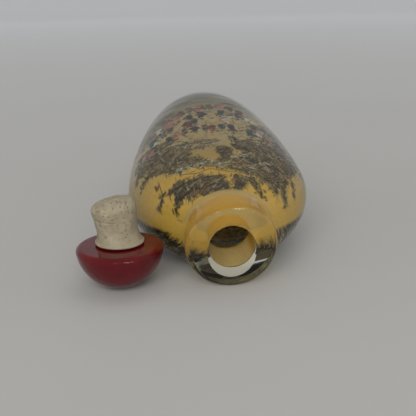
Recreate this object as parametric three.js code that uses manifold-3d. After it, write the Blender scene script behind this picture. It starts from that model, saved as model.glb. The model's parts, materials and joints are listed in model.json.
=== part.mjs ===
// Glass snuff bottle lying on one broad side, with its stopper out beside it.
// Millimetres, +Z up. The neck points towards -Y and the foot towards +Y.
import * as THREE from 'three';
import { mergeVertices } from 'three/addons/utils/BufferGeometryUtils.js';
import Module from 'manifold-3d';

// Bottle, measured along its own axis from the mouth
const NECK_LENGTH = 6.3;
const BODY_LENGTH = 71.0;
const LIP_RADIUS = 10.0;
const LIP_ROUND = 1.4;
const MOUTH_RADIUS = 5.0;
const MOUTH_ROUND = 0.35;
const NECK_RADIUS = 9.85;

// Body seen from the broad side, and from the narrow side
const BODY_WIDTH = 44.1;
const WIDEST_AT = 21.2;
const WIDTH_AT_NECK = 16.8;
const SHOULDER_POWER = 1.8;
const SIDE_POWER = 1.8;
const BODY_DEPTH = 32.9;
const DEEPEST_AT = 46.0;
const DEPTH_AT_NECK = 19.8;
const FRONT_POWER = 1.6;
const BACK_POWER = 2.5;
const SECTION_POWER = 2.07;
const FILLET = 0.55;

// Foot and hollow
const FOOT_HALF_WIDTH = 8.9;
const FOOT_HALF_DEPTH = 5.5;
const FOOT_GLASS = 5.5;
const SIDE_WALL = 3.6;
const FACE_WALL = 3.3;
const SHOULDER_WALL = 3.2;
const HOLLOW_NEAR_POWER = 2.1;
const HOLLOW_FAR_POWER = 2.2;

// How it lies
const LEAN = 8.54;
const LIP_FLAT = 0.1;

// Stopper
const CAP_RADIUS = 9.6;
const CAP_EDGE = 0.5;
const CAP_FLAT_RADIUS = 1.8;
const STOPPER_X = -23.9;
const STOPPER_Y = 6.2;
const CORK_X = 0.1;
const CORK_Y = 0.8;
const CORK_LEAN = 0.12;
const CORK_TOP_SLOPE = 0.12;
const CORK_GAP = 0.3;
const CORK_HEIGHT = 9.6;
const CORK_FOOT_RADIUS = 5.4;
const CORK_WAIST_RADIUS = 4.4;
const CORK_TOP_RADIUS = 4.65;
const CORK_TOP_ROUND = 1.5;

// Fineness
const AROUND = 56;
const OUTER_RINGS = 26;
const INNER_RINGS = 18;
const CAP_SIDES = 48;
const CORK_SIDES = 28;

// Half extent of the body at a distance from the neck: two superellipse arcs
// that meet at the fullest point, cut off by the neck and by the foot.
function bodyHalf(t, half, fullest, nearPower, farPower, atNeck, atFoot) {
  const near = fullest / (1 - (atNeck / half) ** nearPower) ** (1 / nearPower);
  const rest = BODY_LENGTH - fullest;
  const far = rest / (1 - (atFoot / half) ** farPower) ** (1 / farPower);
  if (t < fullest) {
    const k = Math.max(1 - ((fullest - t) / near) ** nearPower, 1e-6);
    return half * k ** (1 / nearPower);
  }
  const k = Math.max(1 - ((t - fullest) / far) ** farPower, 1e-6);
  return half * k ** (1 / farPower);
}

function bodyWidthAt(t) {
  return bodyHalf(
    t, BODY_WIDTH / 2, WIDEST_AT, SHOULDER_POWER, SIDE_POWER, WIDTH_AT_NECK / 2, FOOT_HALF_WIDTH
  );
}

function bodyDepthAt(t) {
  return bodyHalf(
    t, BODY_DEPTH / 2, DEEPEST_AT, FRONT_POWER, BACK_POWER, DEPTH_AT_NECK / 2, FOOT_HALF_DEPTH
  );
}

// Carries a body curve on past the neck plane in a straight line.
function extended(curve, t) {
  if (t >= 0) {
    return curve(t);
  }
  const slope = (curve(0.05) - curve(0)) / 0.05;
  return curve(0) + slope * t;
}

// Half extent of body and neck together, with the corner between them rounded.
function outsideAt(curve, t) {
  if (t > WIDEST_AT) {
    return curve(t);
  }
  const step = (extended(curve, t) - NECK_RADIUS) / FILLET;
  return NECK_RADIUS + FILLET * Math.log(1 + Math.exp(step));
}

// Superellipse power of the cross-section: round at the neck, fuller in the body.
function sectionPower(t) {
  const k = THREE.MathUtils.clamp(t / (0.25 * BODY_LENGTH), 0, 1);
  return 2 + (SECTION_POWER - 2) * k;
}

// One ring of points around the axis.
function ring(y, halfWidth, halfDepth, power) {
  const points = [];
  for (let i = 0; i < AROUND; i += 1) {
    const angle = (2 * Math.PI * i) / AROUND;
    const c = Math.cos(angle);
    const s = Math.sin(angle);
    const x = halfWidth * Math.sign(c) * Math.abs(c) ** (2 / power);
    const z = halfDepth * Math.sign(s) * Math.abs(s) ** (2 / power);
    points.push(new THREE.Vector3(x, y, z));
  }
  return points;
}

function roundRing(y, radius) {
  return ring(y, radius, radius, 2);
}

// Closed skin over a row of rings, with a fan to a centre point at each end.
function loft(rings) {
  const positions = [];
  for (const points of rings) {
    for (const p of points) {
      positions.push(p.x, p.y, p.z);
    }
  }
  const first = rings[0];
  const last = rings[rings.length - 1];
  const firstCentre = positions.length / 3;
  positions.push(0, first[0].y, 0);
  const lastCentre = positions.length / 3;
  positions.push(0, last[0].y, 0);
  const index = [];
  for (let r = 0; r + 1 < rings.length; r += 1) {
    for (let i = 0; i < AROUND; i += 1) {
      const j = (i + 1) % AROUND;
      const a = r * AROUND + i;
      const b = r * AROUND + j;
      const c = (r + 1) * AROUND + i;
      const d = (r + 1) * AROUND + j;
      index.push(a, b, c);
      index.push(b, d, c);
    }
  }
  for (let i = 0; i < AROUND; i += 1) {
    const j = (i + 1) % AROUND;
    const tail = (rings.length - 1) * AROUND;
    index.push(firstCentre, j, i);
    index.push(lastCentre, tail + i, tail + j);
  }
  const geometry = new THREE.BufferGeometry();
  geometry.setAttribute('position', new THREE.Float32BufferAttribute(positions, 3));
  geometry.setIndex(index);
  return geometry;
}

// Rings of the outside, from the foot's flat base to the neck.
function outerRings() {
  const rings = [];
  const foot = BODY_LENGTH;
  rings.push(ring(NECK_LENGTH + foot, FOOT_HALF_WIDTH - 0.6, FOOT_HALF_DEPTH - 0.6, SECTION_POWER));
  for (let i = 0; i <= OUTER_RINGS; i += 1) {
    const k = i / OUTER_RINGS;
    const t = (foot - 0.35) * (0.5 + 0.5 * Math.cos(Math.PI * k ** 0.9));
    const width = outsideAt(bodyWidthAt, t);
    const depth = outsideAt(bodyDepthAt, t);
    rings.push(ring(NECK_LENGTH + t, width, depth, sectionPower(t)));
  }
  return rings;
}

// Rings of the neck, from the shoulder's fillet to the rounded lip.
function neckRings() {
  const rings = [];
  for (const t of [-0.8, -1.8, -3.0]) {
    const width = outsideAt(bodyWidthAt, t);
    const depth = outsideAt(bodyDepthAt, t);
    rings.push(ring(NECK_LENGTH + t, width, depth, 2));
  }
  const steps = 5;
  for (let i = 0; i <= steps; i += 1) {
    const angle = (Math.PI / 2) * (i / steps);
    const radius = LIP_RADIUS - LIP_ROUND * (1 - Math.cos(angle));
    rings.push(roundRing(LIP_ROUND * (1 - Math.sin(angle)), radius));
  }
  return rings;
}

// Half extents of the hollow: it opens out from the bore behind the shoulder
// and closes in a rounded bottom in front of the foot's thick glass.
function hollowHalf(t, half, fullest) {
  const start = SHOULDER_WALL;
  const end = BODY_LENGTH - FOOT_GLASS;
  if (t < fullest) {
    const power = HOLLOW_NEAR_POWER;
    const open = (MOUTH_RADIUS + 0.2) / half;
    const reach = (1 - open ** power) ** (1 / power);
    const k = (reach * (fullest - t)) / (fullest - start);
    return half * (1 - k ** power) ** (1 / power);
  }
  const k = (0.985 * (t - fullest)) / (end - fullest);
  return half * (1 - k ** HOLLOW_FAR_POWER) ** (1 / HOLLOW_FAR_POWER);
}

function hollowWidthAt(t) {
  return hollowHalf(t, BODY_WIDTH / 2 - SIDE_WALL, WIDEST_AT + 1);
}

function hollowDepthAt(t) {
  return hollowHalf(t, BODY_DEPTH / 2 - FACE_WALL, DEEPEST_AT - 4);
}

// Rings of the hollow, from the mouth inwards to the bottom.
function innerRings() {
  const rings = [];
  rings.push(roundRing(0, MOUTH_RADIUS + MOUTH_ROUND));
  rings.push(roundRing(0.3 * MOUTH_ROUND, MOUTH_RADIUS + 0.3 * MOUTH_ROUND));
  rings.push(roundRing(MOUTH_ROUND, MOUTH_RADIUS));
  rings.push(roundRing(NECK_LENGTH * 0.55, MOUTH_RADIUS));
  const start = SHOULDER_WALL;
  const end = BODY_LENGTH - FOOT_GLASS;
  rings.push(roundRing(NECK_LENGTH + start - 0.6, MOUTH_RADIUS));
  for (let i = 0; i <= INNER_RINGS; i += 1) {
    const k = i / INNER_RINGS;
    const t = start + (end - start) * (0.5 - 0.5 * Math.cos(Math.PI * k));
    rings.push(ring(NECK_LENGTH + t, hollowWidthAt(t), hollowDepthAt(t), sectionPower(t)));
  }
  return rings;
}

// Turns a closed three.js geometry into a solid for cutting.
function toSolid(wasm, geometry) {
  const bare = geometry.clone();
  bare.deleteAttribute('normal');
  bare.deleteAttribute('uv');
  const merged = mergeVertices(bare, 1e-5);
  const mesh = new wasm.Mesh({
    numProp: 3,
    vertProperties: new Float32Array(merged.attributes.position.array),
    triVerts: new Uint32Array(merged.index.array),
  });
  return new wasm.Manifold(mesh);
}

function toGeometry(solid) {
  const mesh = solid.getMesh();
  const geometry = new THREE.BufferGeometry();
  const stride = mesh.numProp;
  const positions = [];
  for (let i = 0; i < mesh.vertProperties.length; i += stride) {
    positions.push(mesh.vertProperties[i], mesh.vertProperties[i + 1], mesh.vertProperties[i + 2]);
  }
  geometry.setAttribute('position', new THREE.Float32BufferAttribute(positions, 3));
  geometry.setIndex(Array.from(mesh.triVerts));
  geometry.computeVertexNormals();
  return geometry;
}

// The bottle's glass, leaned over so that lip and belly share one plane, which
// cuts a small flat under each of them.
function bottleGeometry(wasm) {
  const rings = [...outerRings(), ...neckRings(), ...innerRings()];
  const glass = loft(rings);
  const lean = THREE.MathUtils.degToRad(LEAN);
  glass.rotateX(lean);
  const lipDrop = LIP_RADIUS * Math.cos(lean) - LIP_ROUND * Math.sin(lean);
  glass.translate(0, 0, lipDrop - LIP_FLAT);
  const below = new THREE.BoxGeometry(80, 160, 10);
  below.translate(0, 40, -5);
  return toGeometry(toSolid(wasm, glass).subtract(toSolid(wasm, below)));
}

// Cap of the stopper: a half ball, dome down, with a softened edge and a small
// flat where it stands.
function capGeometry() {
  const profile = [];
  const bottom = Math.asin(CAP_FLAT_RADIUS / CAP_RADIUS);
  profile.push(new THREE.Vector2(0, -CAP_RADIUS * Math.cos(bottom)));
  const steps = 12;
  const last = Math.PI / 2 - CAP_EDGE / CAP_RADIUS;
  for (let i = 0; i <= steps; i += 1) {
    const angle = bottom + (last - bottom) * (i / steps);
    profile.push(new THREE.Vector2(CAP_RADIUS * Math.sin(angle), -CAP_RADIUS * Math.cos(angle)));
  }
  profile.push(new THREE.Vector2(CAP_RADIUS - 0.3 * CAP_EDGE, -0.3 * CAP_EDGE));
  profile.push(new THREE.Vector2(CAP_RADIUS - CAP_EDGE, 0));
  profile.push(new THREE.Vector2(0, 0));
  const cap = new THREE.LatheGeometry(profile, CAP_SIDES);
  cap.rotateX(Math.PI / 2);
  return cap;
}

// Cork of the stopper: a plug with a flared foot, a waist and a rounded top.
function corkGeometry() {
  const profile = [];
  profile.push(new THREE.Vector2(0, 0));
  profile.push(new THREE.Vector2(CORK_FOOT_RADIUS - 0.15, 0));
  profile.push(new THREE.Vector2(CORK_FOOT_RADIUS, 0.25));
  profile.push(new THREE.Vector2(CORK_FOOT_RADIUS - 0.1, 0.6));
  const flare = 3.6;
  const steps = 5;
  for (let i = 1; i <= steps; i += 1) {
    const k = i / steps;
    const width = CORK_WAIST_RADIUS + (CORK_FOOT_RADIUS - 0.15 - CORK_WAIST_RADIUS) * (1 - k) ** 2;
    profile.push(new THREE.Vector2(width, 0.6 + (flare - 0.6) * k));
  }
  const shoulder = CORK_HEIGHT - CORK_TOP_ROUND;
  profile.push(new THREE.Vector2((CORK_WAIST_RADIUS + CORK_TOP_RADIUS) / 2, (flare + shoulder) / 2));
  for (let i = 0; i <= 4; i += 1) {
    const angle = (Math.PI / 2) * (i / 4);
    const width = CORK_TOP_RADIUS - CORK_TOP_ROUND * (1 - Math.cos(angle));
    profile.push(new THREE.Vector2(width, shoulder + CORK_TOP_ROUND * Math.sin(angle)));
  }
  profile.push(new THREE.Vector2(0, CORK_HEIGHT + 0.1));
  const cork = new THREE.LatheGeometry(profile, CORK_SIDES);
  cork.rotateX(Math.PI / 2);
  return leanedOver(cork);
}

// Hand-cut look of the cork: it leans a little towards -X and its top slopes
// the same way, while its foot stays flat on the cap.
function leanedOver(cork) {
  const position = cork.attributes.position;
  for (let i = 0; i < position.count; i += 1) {
    const x = position.getX(i);
    const z = position.getZ(i);
    const height = Math.max(z / CORK_HEIGHT, 0);
    position.setX(i, x - CORK_LEAN * z);
    position.setZ(i, z + CORK_TOP_SLOPE * x * height ** 4);
  }
  cork.computeVertexNormals();
  return cork;
}

const wasm = await Module();
wasm.setup();

const bottle = new THREE.Mesh(
  bottleGeometry(wasm),
  new THREE.MeshStandardMaterial({ color: 0xd8e2da, roughness: 0.05, metalness: 0 })
);
bottle.name = 'bottle';

const capHeight = CAP_RADIUS * Math.cos(Math.asin(CAP_FLAT_RADIUS / CAP_RADIUS));
const stopperCap = new THREE.Mesh(
  capGeometry(),
  new THREE.MeshStandardMaterial({ color: 0x6e0c1a, roughness: 0.12, metalness: 0 })
);
stopperCap.name = 'stopper_cap';
stopperCap.position.set(0, 0, capHeight);

const stopperCork = new THREE.Mesh(
  corkGeometry(),
  new THREE.MeshStandardMaterial({ color: 0xc9c4ae, roughness: 0.9, metalness: 0 })
);
stopperCork.name = 'stopper_cork';
stopperCork.position.set(CORK_X, CORK_Y, capHeight + CORK_GAP);

const stopper = new THREE.Group();
stopper.add(stopperCap, stopperCork);
stopper.position.set(STOPPER_X, STOPPER_Y, 0);

const snuffBottle = new THREE.Group();
snuffBottle.add(bottle, stopper);

// Origin at the middle of the underside of the whole set
const extent = new THREE.Box3().setFromObject(snuffBottle, true);
const middle = extent.getCenter(new THREE.Vector3());
snuffBottle.position.set(-middle.x, -middle.y, -extent.min.z);

export default snuffBottle;
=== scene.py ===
"""Looks of a glass snuff bottle painted inside, lying beside its stopper."""

import json
import math

import bpy
import numpy as np
from mathutils import Matrix, Vector


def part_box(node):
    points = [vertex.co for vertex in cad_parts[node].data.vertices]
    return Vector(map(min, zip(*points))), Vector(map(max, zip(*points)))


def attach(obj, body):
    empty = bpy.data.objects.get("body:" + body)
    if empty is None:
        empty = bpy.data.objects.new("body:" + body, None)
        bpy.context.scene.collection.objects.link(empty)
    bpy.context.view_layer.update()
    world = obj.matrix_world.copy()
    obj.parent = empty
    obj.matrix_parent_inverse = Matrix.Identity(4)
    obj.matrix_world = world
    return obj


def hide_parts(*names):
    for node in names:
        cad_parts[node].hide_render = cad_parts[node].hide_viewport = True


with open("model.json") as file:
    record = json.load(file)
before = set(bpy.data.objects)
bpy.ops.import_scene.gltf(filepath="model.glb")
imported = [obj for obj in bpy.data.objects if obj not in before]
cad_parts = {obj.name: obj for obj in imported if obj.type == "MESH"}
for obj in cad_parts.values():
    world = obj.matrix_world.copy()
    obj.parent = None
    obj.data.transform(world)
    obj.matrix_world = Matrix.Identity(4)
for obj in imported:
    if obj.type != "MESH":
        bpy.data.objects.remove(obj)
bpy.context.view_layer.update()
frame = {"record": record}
MM = 0.001

# ---------------- the bottle's own frame
mounts = {m["name"]: m for m in frame["record"]["mounts"]}
foot_point = np.array(mounts["foot"]["pos_m"]) / MM
along = np.array(mounts["foot"]["axis"])
along = along / np.linalg.norm(along)
rim_point = np.array(mounts["mouth_rim"]["pos_m"]) / MM
full_length = float((foot_point - rim_point) @ along)
mouth_centre = foot_point - along * full_length
across = np.array([1.0, 0.0, 0.0])
upward = np.cross(across, along)

# Sizes in millimetres: the solids', but for the mouth's bevel and a body 0.08 narrower
NECK_LENGTH = 6.3
BODY_LENGTH = full_length - NECK_LENGTH
LIP_RADIUS = 10.0
LIP_ROUND = 1.4
MOUTH_RADIUS = 5.0
MOUTH_ROUND = 0.35
BEVEL_WIDTH = 2.2
BEVEL_DEPTH = 0.3
BEVEL_NARROWING = 1.9
BEVEL_CURVE = 1.5
LIP_FACE_RINGS = (8.3, 8.0, 7.7)
GLASS_COLUMNS = 168
# the share of the bevel, round the mouth, that gets the pale glass of painted light
BEVEL_LIGHT_FROM, BEVEL_LIGHT_TO = 0.56, 0.94
GLASS_IOR = 1.5
NECK_RADIUS = 9.85
BODY_WIDTH = 44.02
WIDEST_AT = 21.2
WIDTH_AT_NECK = 16.8
SHOULDER_POWER = 1.8
SIDE_POWER = 1.8
BODY_DEPTH = 32.9
DEEPEST_AT = 46.0
DEPTH_AT_NECK = 19.8
FRONT_POWER = 1.6
BACK_POWER = 2.5
SECTION_POWER = 2.07
FILLET = 0.55
FOOT_HALF_WIDTH = 8.9
FOOT_HALF_DEPTH = 5.5
FOOT_GLASS = 5.5
SIDE_WALL = 3.6
FACE_WALL = 3.3
SHOULDER_WALL = 3.2
HOLLOW_NEAR_POWER = 2.1
HOLLOW_FAR_POWER = 2.2
PAINT_DEPTH = 0.05
PAINT_THROUGH = 0.3
PAINT_START = -5.7
PAINT_END = BODY_LENGTH - FOOT_GLASS - 0.4


def body_half(t, half, fullest, near_power, far_power, at_neck, at_foot):
    """Half extent of the body's outside at distances t from the neck."""
    near = fullest / (1 - (at_neck / half) ** near_power) ** (1 / near_power)
    far = (BODY_LENGTH - fullest) / (1 - (at_foot / half) ** far_power) ** (1 / far_power)
    a = np.clip((fullest - t) / near, 0, 1) ** near_power
    b = np.clip((t - fullest) / far, 0, 1) ** far_power
    k = np.clip(1 - np.where(t < fullest, a, b), 1e-6, 1)
    return half * k ** np.where(t < fullest, 1 / near_power, 1 / far_power)


def width_at(t):
    return body_half(
        t, BODY_WIDTH / 2, WIDEST_AT, SHOULDER_POWER, SIDE_POWER, WIDTH_AT_NECK / 2, FOOT_HALF_WIDTH
    )


def depth_at(t):
    return body_half(
        t, BODY_DEPTH / 2, DEEPEST_AT, FRONT_POWER, BACK_POWER, DEPTH_AT_NECK / 2, FOOT_HALF_DEPTH
    )


def outside_at(curve, t):
    """Body and neck together, with the corner between them rounded."""
    t = np.asarray(t, float)
    slope = (curve(np.array(0.05)) - curve(np.array(0.0))) / 0.05
    straight = np.where(t < 0, curve(np.array(0.0)) + slope * t, curve(np.maximum(t, 0)))
    step = np.minimum((straight - NECK_RADIUS) / FILLET, 40)
    return np.where(t > WIDEST_AT, straight, NECK_RADIUS + FILLET * np.log1p(np.exp(step)))


def hollow_half(t, half, fullest):
    """Half extent of the hollow at distances t from the neck."""
    start, end = SHOULDER_WALL, BODY_LENGTH - FOOT_GLASS
    p, q = HOLLOW_NEAR_POWER, HOLLOW_FAR_POWER
    reach = (1 - ((MOUTH_RADIUS + 0.2) / half) ** p) ** (1 / p)
    a = np.clip(reach * (fullest - t) / (fullest - start), 0, 1)
    b = np.clip(0.985 * (t - fullest) / (end - fullest), 0, 1)
    near = (1 - a**p) ** (1 / p)
    far = (1 - b**q) ** (1 / q)
    return half * np.where(t < fullest, near, far)


def hollow_width_at(t):
    return hollow_half(t, BODY_WIDTH / 2 - SIDE_WALL, WIDEST_AT + 1)


def hollow_depth_at(t):
    return hollow_half(t, BODY_DEPTH / 2 - FACE_WALL, DEEPEST_AT - 4)


def section_power(t):
    return 2 + (SECTION_POWER - 2) * np.clip(t / (0.25 * BODY_LENGTH), 0, 1)


def ring(y, half_width, half_depth, power, angles):
    """Points round the bottle's axis: across, along and upward, in millimetres."""
    c, s = np.cos(angles), np.sin(angles)
    x = half_width * np.sign(c) * np.abs(c) ** (2 / power)
    d = half_depth * np.sign(s) * np.abs(s) ** (2 / power)
    return np.stack([x, np.full_like(x, y), d], axis=-1)


def lying(points):
    """From the bottle's own frame to the row frame, in metres."""
    p = np.asarray(points)
    out = mouth_centre + p[..., :1] * across + p[..., 1:2] * along + p[..., 2:3] * upward
    return out * MM


def make_object(name, vertices, faces):
    mesh = bpy.data.meshes.new(name)
    mesh.from_pydata([tuple(v) for v in vertices], [], [tuple(f) for f in faces])
    mesh.polygons.foreach_set("use_smooth", [True] * len(mesh.polygons))
    mesh.update()
    ob = bpy.data.objects.new(name, mesh)
    bpy.context.scene.collection.objects.link(ob)
    return ob


def skin_faces(rows, columns):
    """Quads over closed rings of points, row by row."""
    faces = []
    for r in range(rows - 1):
        for i in range(columns):
            j = (i + 1) % columns
            faces.append((r * columns + i, r * columns + j, (r + 1) * columns + j, (r + 1) * columns + i))
    return faces


def closed_faces(rows, columns):
    """The same with both ends closed by fans, about the two points that follow the rings."""
    faces = skin_faces(rows, columns)
    head, tail = rows * columns, (rows - 1) * columns
    for i in range(columns):
        j = (i + 1) % columns
        faces.append((head, j, i))
        faces.append((head + 1, tail + i, tail + j))
    return faces


# ---------------- materials
def new_material(name):
    material = bpy.data.materials.new(name)
    material.use_nodes = True
    tree = material.node_tree
    shader = tree.nodes["Principled BSDF"]
    return material, tree, shader


def add(tree, kind, **values):
    node = tree.nodes.new(kind)
    for key, value in values.items():
        if key in node.inputs:
            node.inputs[key].default_value = value
        else:
            setattr(node, key, value)
    return node


def noise(tree, scale, detail=3.0, roughness=0.55, coordinate=None):
    """Noise over the object's own coordinates, in metres times scale."""
    node = add(tree, "ShaderNodeTexNoise", Scale=scale, Detail=detail, Roughness=roughness)
    if coordinate is None:
        coordinate = tree.nodes.new("ShaderNodeTexCoord").outputs["Object"]
    tree.links.new(coordinate, node.inputs["Vector"])
    return node.outputs["Fac"]


def ramp(tree, source, stops):
    node = tree.nodes.new("ShaderNodeValToRGB")
    elements = node.color_ramp.elements
    while len(elements) < len(stops):
        elements.new(0.5)
    for element, (position, colour) in zip(elements, stops):
        element.position = position
        element.color = (*colour, 1.0)
    tree.links.new(source, node.inputs["Fac"])
    return node.outputs["Color"]


def mix(tree, factor, a, b, blend="MIX"):
    node = tree.nodes.new("ShaderNodeMix")
    node.data_type = "RGBA"
    node.blend_type = blend
    for value, socket in ((factor, node.inputs[0]), (a, node.inputs[6]), (b, node.inputs[7])):
        if isinstance(value, bpy.types.NodeSocket):
            tree.links.new(value, socket)
        elif isinstance(value, (int, float)):
            socket.default_value = value
        else:
            socket.default_value = (*value, 1.0)
    return node.outputs[2]


def spread(tree, source, low, high, out_low=0.0, out_high=1.0):
    node = tree.nodes.new("ShaderNodeMapRange")
    tree.links.new(source, node.inputs["Value"])
    node.inputs["From Min"].default_value = low
    node.inputs["From Max"].default_value = high
    node.inputs["To Min"].default_value = out_low
    node.inputs["To Max"].default_value = out_high
    return node.outputs["Result"]


def bump(tree, shader, height, strength, distance):
    node = tree.nodes.new("ShaderNodeBump")
    node.inputs["Strength"].default_value = strength
    node.inputs["Distance"].default_value = distance
    tree.links.new(height, node.inputs["Height"])
    tree.links.new(node.outputs["Normal"], shader.inputs["Normal"])


def glass_material(name, colour, roughness, transmission):
    """See-through glass, by plain values on the shader."""
    material, tree, shader = new_material(name)
    shader.inputs["Base Color"].default_value = colour
    shader.inputs["Roughness"].default_value = roughness
    shader.inputs["IOR"].default_value = GLASS_IOR
    shader.inputs["Transmission Weight"].default_value = transmission
    return material


def paint_material():
    """Thin colours that let PAINT_THROUGH of the light through."""
    material, tree, shader = new_material("inside_painting")
    colour = add(tree, "ShaderNodeAttribute", attribute_name="paint").outputs["Color"]
    grain = noise(tree, 1500, 4, 0.6)
    shade = spread(tree, grain, 0.35, 0.65, 0.95, 1.05)
    toned = mix(tree, 1.0, colour, shade, "MULTIPLY")
    tree.links.new(toned, shader.inputs["Base Color"])
    shader.inputs["Roughness"].default_value = 0.6
    shader.inputs["Specular IOR Level"].default_value = 0.1
    through = tree.nodes.new("ShaderNodeBsdfTranslucent")
    tree.links.new(toned, through.inputs["Color"])
    both = tree.nodes.new("ShaderNodeMixShader")
    both.inputs[0].default_value = PAINT_THROUGH
    tree.links.new(shader.outputs[0], both.inputs[1])
    tree.links.new(through.outputs[0], both.inputs[2])
    tree.links.new(both.outputs[0], tree.nodes["Material Output"].inputs["Surface"])
    return material


def cap_material():
    material, tree, shader = new_material("cherry_glass")
    cloud = noise(tree, 160, 4, 0.55)
    fine = noise(tree, 1400, 3, 0.6)
    stops = [(0.3, (0.075, 0.001, 0.003)), (0.55, (0.10, 0.0015, 0.004)), (0.75, (0.13, 0.003, 0.006))]
    base = ramp(tree, cloud, stops)
    flecked = mix(tree, spread(tree, fine, 0.62, 0.78, 0.0, 0.35), base, (0.17, 0.008, 0.012))
    tree.links.new(flecked, shader.inputs["Base Color"])
    tree.links.new(spread(tree, fine, 0.3, 0.7, 0.06, 0.13), shader.inputs["Roughness"])
    shader.inputs["IOR"].default_value = 1.42
    bump(tree, shader, noise(tree, 260, 2), 0.05, 0.0002)
    return material


def cork_material():
    material, tree, shader = new_material("pale_cork")
    broad = noise(tree, 420, 4, 0.6)
    fine = noise(tree, 1900, 4, 0.65)
    stops = [(0.30, (0.275, 0.232, 0.152)), (0.52, (0.335, 0.287, 0.193)), (0.72, (0.385, 0.337, 0.235))]
    base = ramp(tree, broad, stops)
    flecked = mix(tree, spread(tree, fine, 0.58, 0.72, 0.0, 0.5), base, (0.17, 0.14, 0.09))
    pit = add(tree, "ShaderNodeAttribute", attribute_name="pit").outputs["Fac"]
    pitted = mix(tree, spread(tree, pit, 0.0, 0.9, 0.0, 0.8), flecked, (0.10, 0.075, 0.045))
    tree.links.new(pitted, shader.inputs["Base Color"])
    tree.links.new(spread(tree, fine, 0.3, 0.7, 0.82, 0.98), shader.inputs["Roughness"])
    bump(tree, shader, fine, 0.5, 0.00025)
    return material


def floor_material():
    """Pale matt card, a little lighter far from the object."""
    material, tree, shader = new_material("pale_table")
    place = tree.nodes.new("ShaderNodeTexCoord").outputs["Object"]
    cloud = noise(tree, 9, 3, 0.5, place)
    base = ramp(tree, cloud, [(0.3, (0.455, 0.445, 0.425)), (0.7, (0.475, 0.465, 0.445))])
    away = tree.nodes.new("ShaderNodeVectorMath")
    away.operation = "LENGTH"
    tree.links.new(place, away.inputs[0])
    far = spread(tree, away.outputs["Value"], 0.06, 1.6)
    tree.links.new(mix(tree, far, base, (0.84, 0.85, 0.86)), shader.inputs["Base Color"])
    tree.links.new(spread(tree, cloud, 0.3, 0.7, 0.6, 0.7), shader.inputs["Roughness"])
    shader.inputs["Specular IOR Level"].default_value = 0.2
    return material


# ---------------- glass
def glass_rings(columns):
    angles = np.linspace(0, 2 * np.pi, columns, endpoint=False)
    rings = []
    for inset, t in ((4.0, 0.0), (1.6, 0.0), (0.6, 0.0), (0.35, -0.05), (0.14, -0.16)):
        rings.append(
            ring(
                NECK_LENGTH + BODY_LENGTH + t,
                FOOT_HALF_WIDTH - inset, FOOT_HALF_DEPTH - inset, SECTION_POWER, angles,
            )
        )
    for k in np.linspace(0, 1, 110):
        t = (BODY_LENGTH - 0.35) * (0.5 + 0.5 * math.cos(math.pi * k**0.9))
        rings.append(
            ring(NECK_LENGTH + t, outside_at(width_at, t), outside_at(depth_at, t), section_power(t), angles)
        )
    for t in np.linspace(-0.25, -(NECK_LENGTH - LIP_ROUND - 0.15), 16):
        rings.append(ring(NECK_LENGTH + t, outside_at(width_at, t), outside_at(depth_at, t), 2, angles))
    for k in np.linspace(0, 1, 12):
        turn = k * math.pi / 2
        radius = LIP_RADIUS - LIP_ROUND * (1 - math.cos(turn))
        rings.append(ring(LIP_ROUND * (1 - math.sin(turn)), radius, radius, 2, angles))
    # the mouth's bevel is widest at the lowest point and fades out at both sides
    low = np.clip(-np.sin(angles), 0, 1) ** BEVEL_NARROWING
    flare = MOUTH_ROUND + (BEVEL_WIDTH - MOUTH_ROUND) * low
    depth = MOUTH_ROUND + (BEVEL_DEPTH - MOUTH_ROUND) * low
    for radius in LIP_FACE_RINGS:
        rings.append(ring(0, radius, radius, 2, angles))
    bevel_start = len(rings)
    for k in np.linspace(0, 1, 14):
        turn = k * math.pi / 2
        radius = MOUTH_RADIUS + flare * (1 - math.sin(turn) ** BEVEL_CURVE)
        rings.append(ring(depth * (1 - math.cos(turn) ** BEVEL_CURVE), radius, radius, 2, angles))
    bevel_end = len(rings)
    for y in np.linspace(BEVEL_DEPTH + 0.3, NECK_LENGTH + SHOULDER_WALL - 0.6, 10):
        rings.append(ring(y, MOUTH_RADIUS, MOUTH_RADIUS, 2, angles))
    start, end = SHOULDER_WALL, BODY_LENGTH - FOOT_GLASS
    for k in np.linspace(0, 1, 90):
        t = start + (end - start) * (0.5 - 0.5 * math.cos(math.pi * k))
        rings.append(ring(NECK_LENGTH + t, hollow_width_at(t), hollow_depth_at(t), section_power(t), angles))
    return np.array(rings), range(bevel_start, bevel_end - 1)


def build_glass():
    columns = GLASS_COLUMNS
    rings, bevel = glass_rings(columns)
    first = rings[0].mean(axis=0)
    last = rings[-1].mean(axis=0)
    points = lying(np.vstack([rings.reshape(-1, 3), [first, last]]))
    points[:, 2] = np.maximum(points[:, 2], 0.0)
    ob = make_object("glass_bottle", points, closed_faces(len(rings), columns))
    ob.data.materials.append(glass_material("clear_glass", (0.93, 0.965, 0.93, 1), 0.0, 1.0))
    # painted light: the lower part of the mouth's bevel gets a pale glass that lets only part of the light
    # through, standing in for the bright table seen through clear glass there
    ob.data.materials.append(glass_material("painted_light_bevel_glass", (0.84, 0.81, 0.66, 1), 0.3, 0.6))
    slots = np.zeros(len(ob.data.polygons), dtype=np.int32)
    lower = (np.arange(columns) > BEVEL_LIGHT_FROM * columns) & (np.arange(columns) < BEVEL_LIGHT_TO * columns)
    for r in bevel:
        slots[r * columns:(r + 1) * columns] = lower
    ob.data.polygons.foreach_set("material_index", slots)
    return ob


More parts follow.
